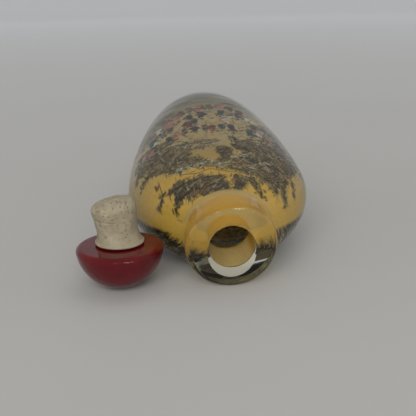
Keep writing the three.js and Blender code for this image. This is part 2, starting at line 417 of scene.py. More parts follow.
# ---------------- the painting
INK = (0.025, 0.019, 0.010)
EARTH = (0.13, 0.082, 0.034)
UMBER = (0.25, 0.172, 0.078)
SLATE = (0.15, 0.14, 0.09)
MOSS = (0.05, 0.06, 0.028)
TEAL = (0.025, 0.085, 0.07)
NAVY = (0.03, 0.04, 0.07)
ROSE = (0.60, 0.27, 0.19)
BRICK = (0.24, 0.075, 0.045)
CHALK = (0.80, 0.76, 0.64)
STRAW = (0.62, 0.55, 0.16)
SKIN = (0.58, 0.36, 0.22)
OCHRE = (0.92, 0.59, 0.12)
AMBER = (0.88, 0.47, 0.035)
DULL = (0.70, 0.54, 0.26)
MIST = (0.36, 0.355, 0.25)
REED = (0.20, 0.20, 0.13)
RUST = (0.55, 0.31, 0.06)
HONEY = (0.86, 0.60, 0.16)
TAN = (0.74, 0.50, 0.16)
THROAT = (0.93, 0.71, 0.31)
HAY = (0.82, 0.72, 0.28)
PAINTED_LIGHT_YELLOW = (0.96, 0.86, 0.42)
PEACH = (0.98, 0.70, 0.34)

FRONT_SEED, BACK_SEED, CORK_SEED = 41, 77, 9
CLUTTER_BOW = 0.012


class Picture:
    """A picture painted stroke by stroke: x across and t down from the neck, in millimetres."""

    half_width, top, bottom, per_mm = 26.0, 2.0, 64.0, 12.0

    def __init__(self, seed):
        self.random = np.random.default_rng(seed)
        self.columns = int(2 * self.half_width * self.per_mm)
        self.rows = int((self.bottom - self.top) * self.per_mm)
        self.colour = np.empty((self.rows, self.columns, 3))
        self.colour[:] = OCHRE

    def field(self, cell):
        """Smooth random field from 0 to 1, with features of cell millimetres."""
        step = cell * self.per_mm
        small = self.random.random((int(self.rows / step) + 3, int(self.columns / step) + 3))
        r = np.arange(self.rows) / step
        c = np.arange(self.columns) / step
        r0, c0 = r.astype(int), c.astype(int)
        fr, fc = (r - r0)[:, None], (c - c0)[None, :]
        fr, fc = fr * fr * (3 - 2 * fr), fc * fc * (3 - 2 * fc)
        a = small[r0][:, c0] * (1 - fc) + small[r0][:, c0 + 1] * fc
        b = small[r0 + 1][:, c0] * (1 - fc) + small[r0 + 1][:, c0 + 1] * fc
        return a * (1 - fr) + b * fr

    def axes(self):
        x = (np.arange(self.columns) + 0.5) / self.per_mm - self.half_width
        t = (np.arange(self.rows) + 0.5) / self.per_mm + self.top
        return x[None, :], t[:, None]

    def blend(self, cover, colour, rows=slice(None), columns=slice(None)):
        patch = self.colour[rows, columns]
        patch += cover[..., None] * (np.asarray(colour) - patch)

    def stroke(self, points, width, colour, strength=1.0):
        """A brush stroke through points; width is one number or one for each point."""
        points = np.asarray(points, float)
        widths = np.broadcast_to(np.asarray(width, float), (len(points),))
        reach = widths.max() / 2 + 1.5 / self.per_mm
        low, high = points.min(axis=0) - reach, points.max(axis=0) + reach
        c0 = max(int((low[0] + self.half_width) * self.per_mm), 0)
        c1 = min(int((high[0] + self.half_width) * self.per_mm) + 1, self.columns)
        r0 = max(int((low[1] - self.top) * self.per_mm), 0)
        r1 = min(int((high[1] - self.top) * self.per_mm) + 1, self.rows)
        if c1 <= c0 or r1 <= r0:
            return
        x = (np.arange(c0, c1) + 0.5) / self.per_mm - self.half_width
        t = (np.arange(r0, r1) + 0.5) / self.per_mm + self.top
        x, t = np.meshgrid(x, t)
        best = np.full(x.shape, -1e9)
        for a, b, wa, wb in zip(points[:-1], points[1:], widths[:-1], widths[1:]):
            d = b - a
            length = max(float(d @ d), 1e-9)
            k = np.clip(((x - a[0]) * d[0] + (t - a[1]) * d[1]) / length, 0, 1)
            gap = np.hypot(x - a[0] - k * d[0], t - a[1] - k * d[1])
            best = np.maximum(best, (wa + (wb - wa) * k) / 2 - gap)
        cover = np.clip(best * self.per_mm + 0.5, 0, 1) * strength
        self.blend(cover, colour, slice(r0, r1), slice(c0, c1))

    def dot(self, x, t, size, colour, strength=1.0):
        self.stroke([(x, t), (x + 0.01, t)], size, colour, strength)

    def tint(self, colour, amount):
        """A colour varied a little, as from an uneven brush."""
        return tuple(np.clip(np.asarray(colour) * (1 + amount * self.random.normal(0, 1)), 0, 1))

    def wash(self, cover, colour):
        self.blend(np.clip(cover, 0, 1), colour)


def smooth(low, high, value):
    k = np.clip((value - low) / (high - low), 0, 1)
    return k * k * (3 - 2 * k)


def inside(corners, x, t):
    """Which points x, t lie inside a closed outline."""
    odd = np.zeros(np.broadcast(x, t).shape, bool)
    for (xa, ta), (xb, tb) in zip(corners, corners[1:] + corners[:1]):
        if ta == tb:
            continue
        crossing = ((ta > t) != (tb > t)) & (x < (xb - xa) * (t - ta) / (tb - ta) + xa)
        odd ^= crossing
    return odd


def paint_ground(p):
    """The bare ground: amber by the neck, ochre on the shoulders, duller and greyer by the foot."""
    x, t = p.axes()
    x = x + 0 * t
    t = t + 0 * x
    p.wash(smooth(1.5, 5.5, 7.0 - t), AMBER)
    p.wash(smooth(11, 24, t), DULL)
    p.wash(smooth(36, 60, t), MIST)
    brushed = p.field(0.5) * 0.6 + p.field(4) * 0.4
    p.wash(0.16 * smooth(0.4, 0.8, brushed), RUST)
    p.wash(0.12 * smooth(0.5, 0.9, p.field(7)), HONEY)
    return x, t


def paint_mass(p, x, t, corners, rag, strength):
    """A wooded or built-up mass: mottled dark wash with a ragged edge."""
    shift_x = (p.field(1.3) - 0.5) * 2 * rag + (p.field(0.45) - 0.5) * rag
    shift_t = (p.field(1.1) - 0.5) * 2 * rag + (p.field(0.4) - 0.5) * rag
    cover = inside(list(corners), x + shift_x, t + shift_t).astype(float)
    p.wash(strength * cover, UMBER)
    p.wash(cover * smooth(0.45, 0.8, p.field(1.6)) * 0.6, EARTH)
    p.wash(cover * smooth(0.6, 0.85, p.field(0.8)) * 0.6, INK)
    p.wash(cover * smooth(0.62, 0.85, p.field(1.1)) * 0.45, SLATE)
    p.wash(cover * smooth(0.7, 0.9, p.field(0.5)) * 0.6, DULL)


def paint_grain(p, corners, count, angle, tones=(INK, DULL, EARTH, DULL, INK, UMBER), strength=0.8):
    """Fine brush lines over a mass, nearly all leaning the same way."""
    random = p.random
    corners = list(corners)
    spots = random.uniform(np.min(corners, axis=0), np.max(corners, axis=0), (count, 2))
    for x, t in spots[inside(corners, spots[:, 0], spots[:, 1])]:
        turn = angle + random.normal(0, 0.22) + (1.4 if random.random() < 0.22 else 0.0)
        length = random.uniform(0.5, 1.9)
        tone = tones[random.integers(len(tones))]
        p.stroke([(x, t), (x + length * math.cos(turn), t + length * math.sin(turn))],
                 [random.uniform(0.16, 0.28), 0.1], p.tint(tone, 0.15), strength * random.uniform(0.55, 1.0))


def paint_tufts(p, corners, count, reach):
    """Short dark strokes standing out from an outline, towards the neck and aside."""
    random = p.random
    corners = np.array(list(corners) + [corners[0]], float)
    lengths = np.hypot(*np.diff(corners, axis=0).T)
    for _ in range(count):
        k = random.choice(len(lengths), p=lengths / lengths.sum())
        a, b = corners[k], corners[k + 1]
        x, t = a + (b - a) * random.random() + random.normal(0, 0.3, 2)
        angle = random.normal(-math.pi / 2, 0.7)
        length = random.uniform(0.4, 1.0) * reach
        tone = (INK, MOSS, EARTH, INK)[random.integers(4)]
        p.stroke([(x, t), (x + length * math.cos(angle), t + length * math.sin(angle))],
                 [random.uniform(0.2, 0.38), 0.06], p.tint(tone, 0.25), random.uniform(0.6, 0.95))


def paint_hatch(p, x, t, corners, angle, gap):
    """A thatched or tiled slope: fine parallel lines, lightly crossed, between a ridge and an eave."""
    random = p.random
    cover = inside(list(corners), x, t).astype(float)
    p.wash(0.8 * cover, p.tint((EARTH, UMBER, SLATE)[random.integers(3)], 0.15))
    for turn, weight in ((angle, 0.9), (angle + 1.25, 0.5)):
        wave = (x * math.cos(turn) + t * math.sin(turn)) / gap + 0.5 * p.field(2.5)
        line = smooth(0.35, 0.85, np.cos(2 * math.pi * wave))
        p.wash(weight * line * cover, INK)
    pale = smooth(0.8, 0.95, np.cos(2 * math.pi * ((x * math.cos(angle) + t * math.sin(angle)) / gap + 0.4)))
    p.wash(0.45 * pale * cover * smooth(0.45, 0.75, p.field(0.7)), DULL)


def paint_roof(p, x, t, cx, ct, width, height, lean, angle=1.35):
    """A roof with its ridge towards the neck, a dark eave, a pale line under it and posts."""
    random = p.random
    corners = [(cx - 0.32 * width + lean, ct - height), (cx + 0.34 * width + lean, ct - height - 0.1),
               (cx + 0.5 * width, ct), (cx - 0.5 * width, ct + 0.2)]
    paint_hatch(p, x, t, corners, angle + 0.25 * random.normal(), random.uniform(0.42, 0.6))
    p.stroke([corners[0], corners[1]], 0.32, INK, 0.95)
    p.stroke([corners[3], corners[2]], 0.34, INK, 0.9)
    p.stroke([corners[1], corners[2]], 0.2, INK, 0.8)
    p.stroke([corners[0], corners[3]], 0.2, INK, 0.8)
    low = ct + 0.55
    p.stroke([(cx - 0.42 * width, low), (cx + 0.42 * width, low - 0.1)], 0.2, DULL, 0.7)
    for k in np.linspace(-0.4, 0.4, max(int(width / 1.1), 3)):
        foot = ct + random.uniform(1.2, 1.9)
        p.stroke([(cx + k * width, ct + 0.2), (cx + k * width + 0.05, foot)], 0.17, p.tint(EARTH, 0.3), 0.9)
    if random.random() < 0.6:
        p.stroke([(cx - 0.38 * width, ct + 1.3), (cx + 0.3 * width, ct + 1.25)], 0.16, BRICK, 0.7)


def paint_flecks(p, points, spread_by, count, tones, size=(0.16, 0.34)):
    """Small light dabs along a line of points: blossom, washing, foam or stones."""
    random = p.random
    points = np.asarray(points, float)

    def spot(gap):
        k = random.integers(len(points) - 1)
        return points[k] + (points[k + 1] - points[k]) * random.random() + random.normal(0, gap, 2)

    for _ in range(count):
        x, t = spot(spread_by)
        tone = tones[random.integers(len(tones))]
        dx = random.uniform(0.1, 0.5)
        p.stroke([(x, t), (x + dx, t + random.normal(0, 0.15))], random.uniform(*size), p.tint(tone, 0.08),
                 random.uniform(0.7, 1.0))
    for _ in range(count // 2):
        x, t = spot(spread_by * 1.2)
        p.stroke([(x, t), (x + random.normal(0, 0.4), t + random.normal(0, 0.3))], 0.2, INK, 0.8)


def paint_branch(p, x, t, length, angle):
    """A crooked branch with clusters of leaves along it."""
    random = p.random
    points = [(x, t)]
    for _ in range(5):
        angle += random.normal(0, 0.35)
        x, t = x + length / 5 * math.cos(angle), t + length / 5 * math.sin(angle)
        points.append((x, t))
    p.stroke(points, np.linspace(0.45, 0.14, 6), INK, 0.92)
    for bx, bt in points[1:]:
        for _ in range(9):
            dx, dt = random.normal(0, 0.55, 2)
            tone = (INK, MOSS, EARTH, MOSS, SLATE)[random.integers(5)]
            turn = random.uniform(0, math.pi)
            p.stroke([(bx + dx, bt + dt), (bx + dx + 0.4 * math.cos(turn), bt + dt + 0.4 * math.sin(turn))],
                     random.uniform(0.22, 0.42), p.tint(tone, 0.25), random.uniform(0.6, 0.95))


def paint_figure(p, x, t, tall, robe, second):
    """A small robed figure seen as a few dabs, head towards the neck."""
    random = p.random
    lean = random.normal(0, 0.08) * tall
    p.stroke([(x, t), (x + lean, t - 0.5 * tall)], [0.42 * tall, 0.3 * tall], p.tint(robe, 0.2), 0.92)
    for _ in range(7):
        dx, dt = random.normal(0, 0.15 * tall), -random.uniform(0.0, 0.6) * tall
        tone = (robe, second, robe, EARTH, second)[random.integers(5)]
        p.stroke([(x + dx, t + dt), (x + dx + random.normal(0, 0.1) * tall, t + dt - 0.16 * tall)],
                 random.uniform(0.08, 0.2) * tall, p.tint(tone, 0.2), 0.9)
    p.stroke([(x - 0.12 * tall, t + 0.03 * tall), (x + 0.16 * tall, t + 0.08 * tall)],
             0.09 * tall, EARTH, 0.8)
    p.dot(x + 1.2 * lean, t - 0.74 * tall, 0.2 * tall, SKIN)
    p.dot(x + 1.3 * lean, t - 0.83 * tall, 0.15 * tall, INK)
    if random.random() < 0.3:
        reach = (0.42 if random.random() < 0.5 else -0.42) * tall
        p.stroke([(x + reach, t + 0.1 * tall), (x + 1.1 * reach, t - 0.8 * tall)], 0.15, EARTH, 0.9)


def paint_clutter(p, low, high, count, tones, size=(0.18, 0.45)):
    """Small mixed dabs over a patch: goods, baskets, stones and tufts between the people."""
    random = p.random
    for _ in range(count):
        x, t = random.uniform(low, high)
        t -= CLUTTER_BOW * (x * x)
        turn = random.normal(0, 0.5)
        length = random.uniform(0.2, 1.1)
        tone = tones[random.integers(len(tones))]
        p.stroke([(x, t), (x + length * math.cos(turn), t + length * math.sin(turn))], random.uniform(*size),
                 p.tint(tone, 0.15), random.uniform(0.45, 0.9))


def paint_row(p, start, end, t, bow, tall, chance, robes):
    """A bowed row of figures, each standing where chance has it."""
    random = p.random
    x = start
    while x < end:
        if random.random() < chance:
            robe = robes[random.integers(len(robes))]
            second = (robe, robe, CHALK, ROSE, NAVY, TEAL, EARTH)[random.integers(7)]
            place = t + bow * x * x + random.normal(0, 0.5)
            paint_figure(p, x, place, tall * random.uniform(0.85, 1.15), robe, second)
        x += random.uniform(0.4, 0.7) * tall


def paint_boat(p, x, t, length):
    """A flat boat with a low mat roof and its reflection."""
    p.stroke([(x - length / 2, t - 0.7), (x - length / 3, t), (x + length / 3, t), (x + length / 2, t - 0.8)],
             [0.2, 0.7, 0.7, 0.18], p.tint(EARTH, 0.2), 0.95)
    p.stroke([(x - length / 2, t - 0.8), (x + length / 2, t - 0.85)], 0.16, STRAW, 0.6)
    p.stroke([(x - 0.22 * length, t - 0.6), (x - 0.06 * length, t - 1.7), (x + 0.14 * length, t - 1.7),
              (x + 0.26 * length, t - 0.6)], 0.35, p.tint(UMBER, 0.2), 0.95)
    p.stroke([(x - 0.3 * length, t + 0.45), (x + 0.4 * length, t + 0.5)], 0.25, INK, 0.4)


def paint_river(p, x, t, shore):
    """Bank and misty water from a shore line to the foot, in thin bands."""
    random = p.random
    line = shore + 2.0 * p.field(9) - 1.0
    p.wash(0.7 * smooth(-5, 11, t - line), REED)
    for _ in range(260):
        cx, ct = random.uniform(-22, 22), random.uniform(shore - 4, BODY_LENGTH - 7)
        span = random.uniform(2.0, 8.0)
        tone = (MIST, SLATE, EARTH, SLATE, CHALK, MOSS, DULL)[random.integers(7)]
        p.stroke([(cx - span, ct + random.normal(0, 0.4)), (cx, ct), (cx + span, ct + random.normal(0, 0.4))],
                 [0.08, random.uniform(0.25, 0.7), 0.08], p.tint(tone, 0.15), random.uniform(0.25, 0.55))


def paint_front():
    """A hamlet above a river: thatched slopes to both sides, people on the bank, boats by the foot."""
    p = Picture(FRONT_SEED)
    x, t = paint_ground(p)
    paint_river(p, x, t, 43.5)
    near = [(-13.0, 9.6), (-10.2, 7.4), (-6.0, 5.4), (-1.6, 4.6), (0.4, 5.2), (0.2, 9.4), (-2.4, 8.6),
            (-4.2, 10.2), (-7.5, 9.9), (-10.0, 10.9)]
    small = [(1.6, 6.0), (3.4, 5.6), (4.2, 8.0), (6.4, 7.8), (6.6, 9.2), (2.0, 9.4)]
    left = [(-20.4, 22.0), (-17.0, 17.6), (-13.0, 15.4), (-9.4, 13.2), (-5.6, 13.6), (-5.2, 16.0),
            (-6.6, 18.6), (-6.0, 21.0), (-9.0, 23.8), (-13.0, 26.0), (-20.8, 27.4)]
    middle = [(-5.8, 13.6), (-1.6, 12.4), (2.4, 11.2), (2.8, 15.4), (3.0, 20.0), (0.2, 20.8),
              (-0.6, 18.6), (1.0, 16.4), (-1.4, 14.8), (-4.6, 15.2)]
    low = [(-8.6, 21.2), (-5.0, 20.6), (-1.0, 21.4), (0.6, 23.4), (-3.4, 24.4), (-8.0, 24.2)]
    right = [(2.2, 11.2), (6.6, 9.6), (10.6, 7.9), (13.2, 9.2), (16.2, 14.4), (19.4, 20.2), (21.6, 25.4),
             (15.0, 27.6), (9.0, 25.4), (4.4, 22.8), (3.4, 20.6), (5.8, 18.4), (3.0, 15.6)]
    farther = [(-20, 33.0), (-13, 32.0), (-9.5, 34.5), (-9.5, 38.0), (-6, 42.0), (-10, 45.5), (-19, 44.0)]
    beside = [(8.6, 28.6), (14.0, 26.8), (21.0, 26.0), (21.0, 34.0), (16.5, 39.5), (12.0, 36.0)]
    for corners, rag, strength in (
        (farther, 1.4, 0.65), (beside, 1.2, 0.65), (left, 0.9, 0.9), (right, 1.0, 0.9), (near, 0.7, 0.97),
        (small, 0.5, 0.97), (middle, 0.6, 0.9), (low, 0.6, 0.8),
    ):
        paint_mass(p, x, t, corners, rag, strength)
        paint_tufts(p, corners, int(9 * len(corners)), 1.2)
    for cx, ct, width, height, lean, angle in (
        (-15.6, 24.6, 8.4, 4.2, 1.4, 1.0), (-10.4, 19.6, 6.6, 3.4, 0.9, 0.9),
        (-17.0, 29.0, 6.5, 2.8, 0.8, 1.1), (-12.2, 28.2, 5.2, 2.4, 0.6, 1.2),
        (8.4, 16.6, 8.0, 4.0, 1.2, 1.9), (14.6, 19.8, 8.6, 5.0, -1.0, 2.2),
        (10.4, 23.8, 7.4, 3.6, -0.8, 2.0), (17.6, 25.6, 6.4, 4.0, -1.0, 2.1), (-8.6, 9.4, 6.0, 2.2, 0.9, 0.9),
        (-2.6, 9.2, 4.2, 2.4, 0.3, 1.3), (5.2, 21.4, 4.4, 2.2, 0.3, 1.6), (11.6, 12.4, 6.4, 2.6, 0.4, 1.8),
    ):
        paint_roof(p, x, t, cx, ct, width, height, lean, angle)
    for bx, bt, length, angle in (
        (-13.2, 10.4, 4.0, -2.4), (-9.6, 8.6, 3.6, -1.9), (-1.2, 6.4, 2.6, -1.2), (2.6, 7.0, 2.4, -1.7),
        (6.2, 8.4, 3.0, -1.2),
        (13.4, 10.0, 4.0, -0.8), (16.8, 14.0, 4.0, -0.6), (20.0, 20.6, 3.4, -0.7), (-19.4, 22.4, 4.0, -2.3),
        (-16.4, 18.2, 3.4, -2.0), (-5.6, 16.2, 2.2, -0.4), (1.4, 18.8, 2.8, -2.6), (3.4, 25.2, 3.0, -0.9),
    ):
        paint_branch(p, bx, bt, length, angle)
    for corners, count, angle in (
        (farther, 500, 0.35), (beside, 560, -0.55), (left, 900, 0.5), (right, 1500, -0.6),
        (middle, 220, 0.2), (low, 160, 0.2),
    ):
        paint_grain(p, corners, count, angle)
    brown = (INK, EARTH, UMBER, INK, EARTH, INK, EARTH, INK, DULL)
    paint_grain(p, near, 420, 0.45, brown)
    paint_grain(p, small, 130, -0.3, brown)
    paint_flecks(p, [(-11.2, 14.4), (-8.6, 13.4), (-5.4, 14.0), (-2.4, 14.4)], 0.45, 80,
                 (CHALK, CHALK, STRAW))
    # painted shade: a faint earth wash darkens the ground in the middle gap between the masses, t 13 to 24 mm
    p.wash(0.16 * smooth(13, 16, t) * (1 - smooth(20, 24, t)) * (1 - smooth(4, 9, np.abs(x + 3))), EARTH)
    paint_flecks(p, [(-0.8, 12.6), (0.8, 13.4)], 0.5, 26, (STRAW, CHALK))
    paint_flecks(p, [(2.6, 15.6), (4.6, 16.6), (6.6, 17.6)], 0.4, 34, (CHALK, CHALK, ROSE))
    paint_flecks(p, [(-9.4, 22.4), (-6.0, 21.6), (-2.4, 22.2), (0.2, 22.8)], 0.6, 80,
                 (CHALK, ROSE, CHALK, STRAW))
    paint_flecks(p, [(4.2, 11.6), (8.4, 13.6), (12.0, 15.4)], 0.8, 40, (DULL, CHALK, DULL))
    paint_flecks(p, [(8.6, 24.2), (12.2, 25.4), (15.4, 26.8)], 0.7, 60, (ROSE, CHALK, ROSE, STRAW))
    p.stroke([(-9.0, 12.3), (-5.6, 11.1), (-2.6, 11.8), (1.0, 10.4), (4.6, 10.0)], 0.22, EARTH, 0.9)
    p.stroke([(-7.0, 11.9), (-3.0, 12.6)], 0.18, EARTH, 0.8)
    p.stroke([(-14.6, 13.9), (-14.0, 10.8)], 0.2, INK, 0.9)
    p.stroke([(-15.6, 13.6), (-15.1, 12.5), (-14.5, 13.2)], [0.5, 0.9, 0.4], BRICK, 0.9)
    tones = (TEAL, NAVY, ROSE, TEAL, NAVY, BRICK, SLATE, TEAL, EARTH, CHALK, ROSE)
    goods = (EARTH, UMBER, CHALK, ROSE, DULL, SLATE, TEAL, EARTH, STRAW)
    paint_clutter(p, (-19, 25.5), (20, 33.5), 420, goods)
    paint_clutter(p, (-17, 33.5), (18, 46), 460, goods)
    paint_row(p, -17.5, 18, 31.4, -0.014, 3.9, 0.9, tones)
    paint_row(p, -15, 18, 35.6, -0.012, 4.1, 0.75, tones)
    paint_row(p, -13, 16, 40.2, -0.014, 4.4, 0.75, (NAVY, TEAL, SLATE, ROSE, NAVY, EARTH, CHALK))
    paint_row(p, -12, 14, 45.0, -0.02, 4.6, 0.6, (ROSE, BRICK, EARTH, TEAL, SLATE, SLATE))
    for bx, bt, length in ((-6.5, 50.0, 8.0), (7.0, 47.6, 7.0), (1.0, 56.0, 7.0)):
        paint_boat(p, bx, bt, length)
    # painted shade: a darker, duller tan band in the corner where the shoulder meets the neck; the amber wash
    # that follows covers it nearer the mouth
    p.wash(1 - smooth(4.2, 5.0, t), TAN)
    p.wash(1 - smooth(1.6, 3.4, t), AMBER)
    return p


def paint_back():
    """The other face: tall grasses by the neck, a row of roofs and a wooded bank."""
    p = Picture(BACK_SEED)
    x, t = paint_ground(p)
    paint_river(p, x, t, 46.0)
    random = p.random

    def edge(x):
        """Where the grasses begin, farther from the neck towards the sides."""
        return 4.8 + 0.015 * x * x

    belt = [(k, edge(k) + 0.8) for k in range(-24, 25, 3)]
    belt += [(24, 27.0), (10, 25.0), (-2, 26.5), (-12, 25.0), (-24, 28.0)]
    paint_mass(p, x, t, belt, 0.9, 1.0)
    for _ in range(2000):
        bx = random.uniform(-24, 24)
        root = edge(bx) + abs(random.normal(0, 1.6)) + 0.6
        length = random.uniform(0.8, 2.6)
        slant = random.normal(0.35, 0.3) * length
        tone = (INK, INK, INK, EARTH, INK, DULL)[random.integers(6)]
        p.stroke([(bx, root), (bx + slant, root - length)], [random.uniform(0.16, 0.32), 0.05],
                 p.tint(tone, 0.2), 0.92)
    # painted light: a hay patch with a pale yellow core on the lower face by the neck, made light to stand in
    # for light this shaded underside lacks
    painted_light_patch = [(-4.5, 6.6), (8, 6.4), (10, 15), (-4, 15)]
    p.wash(0.9 * inside(painted_light_patch, x + 2 * p.field(1.5), t + 2 * p.field(1.2)), HAY)
    paint_grain(p, painted_light_patch, 420, 0.05, (STRAW, CHALK, MOSS, CHALK, INK, EARTH, DULL), 1.0)
    painted_light_core = [(-2.5, 6.2), (6.5, 5.9), (6.8, 10.6), (-3.5, 11.0)]
    p.wash(0.95 * inside(painted_light_core, x + p.field(1.2), t + p.field(0.9)), PAINTED_LIGHT_YELLOW)
    paint_grain(p, [(-3, 6.2), (6.8, 6.0), (6.8, 10.6), (-3, 11)], 90, 0.1,
                (INK, MOSS, CHALK, STRAW, EARTH), 0.9)
    for cx, ct, width, height, lean, angle in (
        (-15, 19.0, 8, 3.6, 0.6, 1.2), (-4.5, 20.5, 8.4, 4.0, 0.6, 1.4), (8.5, 19.0, 8.4, 3.8, -0.8, 1.8),
        (17.5, 22.0, 7.4, 3.4, -0.8, 2.0), (2.5, 25.5, 6.2, 2.8, 0.2, 1.5), (-11, 26.0, 6.6, 3.0, 0.5, 1.3),
    ):
        paint_roof(p, x, t, cx, ct, width, height, lean, angle)
    paint_grain(p, belt, 1500, 0.1, (INK, DULL, EARTH, INK, EARTH, UMBER))
    yard = [(-8, 19.0), (12, 18.0), (14, 33.5), (-8, 33.0)]
    p.wash(0.85 * inside(yard, x + 2 * p.field(1.5), t + 2 * p.field(1.2)), PEACH)
    paint_clutter(p, (-8, 18.5), (12, 26.5), 240, (INK, DULL, EARTH, INK, MOSS, STRAW), (0.2, 0.5))
    paint_clutter(p, (-8, 26.5), (14, 34), 190, (INK, CHALK, ROSE, INK, EARTH, CHALK, BRICK), (0.5, 1.1))
    paint_flecks(p, [(-6, 21.6), (0, 22.6), (7, 21.4), (12, 22.6)], 1.3, 170,
                 (ROSE, CHALK, BRICK, STRAW), (0.25, 0.6))
    paint_row(p, -17, 18, 32.5, -0.01, 4.8, 0.55, (TEAL, NAVY, ROSE, CHALK, BRICK, EARTH))
    paint_row(p, -15, 16, 38.5, -0.012, 5.0, 0.4, (TEAL, NAVY, ROSE, SLATE))
    for bx, bt, length in ((-6, 50, 8), (7, 54, 7)):
        paint_boat(p, bx, bt, length)
    return p


def sample(p, x, t):
    """The picture's colours at points x, t, smoothly."""
    c = np.clip((x + p.half_width) * p.per_mm - 0.5, 0, p.columns - 1.001)
    r = np.clip((t - p.top) * p.per_mm - 0.5, 0, p.rows - 1.001)
    c0, r0 = c.astype(int), r.astype(int)
    fc, fr = (c - c0)[..., None], (r - r0)[..., None]
    a = p.colour[r0, c0] * (1 - fc) + p.colour[r0, c0 + 1] * fc
    b = p.colour[r0 + 1, c0] * (1 - fc) + p.colour[r0 + 1, c0 + 1] * fc
    return a * (1 - fr) + b * fr


def film_angles():
    """Angles round the hollow, closer together over the upper face."""
    upper = np.linspace(0, math.pi, 250, endpoint=False)
    lower = np.linspace(math.pi, 2 * math.pi, 168, endpoint=False)
    return np.concatenate([upper, lower])


def build_painting():
    angles = film_angles()
    columns = len(angles)
    bore_end = SHOULDER_WALL - 0.6
    stations = np.concatenate([np.linspace(PAINT_START, bore_end, 16),
                               np.linspace(SHOULDER_WALL, 12, 48, endpoint=False),
                               np.linspace(12, PAINT_END, 174)])
    rings = []
    for t in stations:
        if t <= bore_end:
            width = depth = MOUTH_RADIUS
        else:
            width, depth = hollow_width_at(t), hollow_depth_at(t)
        power = section_power(t)
        rings.append(ring(NECK_LENGTH + t, width + PAINT_DEPTH, depth + PAINT_DEPTH, power, angles))
    rings = np.array(rings)
    rows = len(stations)
    faces = [f[::-1] for f in skin_faces(rows, columns)]
    ob = make_object("inside_painting", lying(rings.reshape(-1, 3)), faces)
    # distance round the wall from the middle of each face
    steps = np.linalg.norm(np.roll(rings, -1, axis=1) - rings, axis=2)
    run = np.concatenate([np.zeros((rows, 1)), np.cumsum(steps, axis=1)[:, :-1]], axis=1)
    total = steps.sum(axis=1, keepdims=True)
    top = np.array([np.interp(math.pi / 2, angles, r) for r in run])[:, None]
    bottom = np.array([np.interp(1.5 * math.pi, angles, r) for r in run])[:, None]
    upper = angles < math.pi
    x_front = top - run
    x_front = np.where(x_front < -total / 2, x_front + total, x_front)
    x_back = run - bottom
    x_back = np.where(x_back < -total / 2, x_back + total, x_back)
    t = np.repeat(stations[:, None], columns, axis=1)
    front, back = paint_front(), paint_back()
    colour = np.where(upper[None, :, None], sample(front, x_front, t), sample(back, x_back, t))
    # plain ground down the narrow sides
    side = np.abs(np.cos(angles))[None, :]
    plain = (smooth(0.965, 0.99, side) * np.ones((rows, 1)))[..., None]
    bare = np.array(OCHRE) + (np.array(DULL) - np.array(OCHRE)) * smooth(9, 24, t)[..., None]
    bare += (np.array(REED) * 1.25 - bare) * smooth(33, 54, t)[..., None]
    colour = colour * (1 - plain) + bare * plain
    throat = smooth(-0.2, -0.6, np.sin(angles))[None, :] * (1 - smooth(1.5, 3.5, t))
    colour += throat[..., None] * (np.array(THROAT) - colour)
    attribute = ob.data.attributes.new("paint", "FLOAT_COLOR", "POINT")
    rgba = np.concatenate([colour.reshape(-1, 3), np.ones((rows * columns, 1))], axis=1)
    attribute.data.foreach_set("color", rgba.astype(np.float32).ravel())
    # unrolled map; the quads over the seam run on past 1
    layer = ob.data.uv_layers.new(name="OFBake")
    loops = np.empty(len(ob.data.loops), dtype=np.int64)
    ob.data.loops.foreach_get("vertex_index", loops)
    column = loops % columns
    row = loops // columns
    u = angles[column] / (2 * math.pi)
    wraps = (u < 0.25) & (np.maximum.reduceat(u, np.arange(0, len(u), 4)).repeat(4) > 0.75)
    u = np.where(wraps, u + 1.0, u) * 0.98 + 0.005
    v = (stations[row] - stations[0]) / (stations[-1] - stations[0]) * 0.98 + 0.01
    layer.data.foreach_set("uv", np.stack([u, v], 1).astype(np.float32).ravel())
    ob.data.materials.append(paint_material())
    return ob


# ---------------- stopper
CAP_EDGE = 1.0
CAP_COLUMNS = 160
CORK_WAIST = 4.55
CORK_TOP = 5.0
CORK_HEIGHT = 9.6
CORK_ROUNDING = 1.9
CORK_FLARE = 3.4
CORK_LEAN = 0.12
CORK_SLOPE = 0.2
CORK_EDGE = 0.3
CORK_DOME = 0.35
CORK_COLUMNS = 220
PIT_COUNT, PIT_DEPTH = 240, 0.28
DOT_COUNT, DOT_SIZE = 150, 0.22


def lathe(name, profile, centre, columns, shape=None):
    """A turned piece about a vertical axis; shape may move its points."""
    angles = np.linspace(0, 2 * np.pi, columns, endpoint=False)
    profile = np.asarray(profile, float)
    inner = profile[1:-1]
    x = inner[:, :1] * np.cos(angles)
    y = inner[:, :1] * np.sin(angles)
    z = np.repeat(inner[:, 1:], columns, axis=1)
    points = np.stack([x, y, z], -1).reshape(-1, 3)
    points = np.vstack([points, [(0, 0, profile[0, 1]), (0, 0, profile[-1, 1])]])
    extra = None
    if shape is not None:
        points, extra = shape(points)
    ob = make_object(name, (points + np.asarray(centre)) * MM, closed_faces(len(inner), columns))
    if extra is not None:
        attribute = ob.data.attributes.new("pit", "FLOAT", "POINT")
        attribute.data.foreach_set("value", extra.astype(np.float32))
    return ob


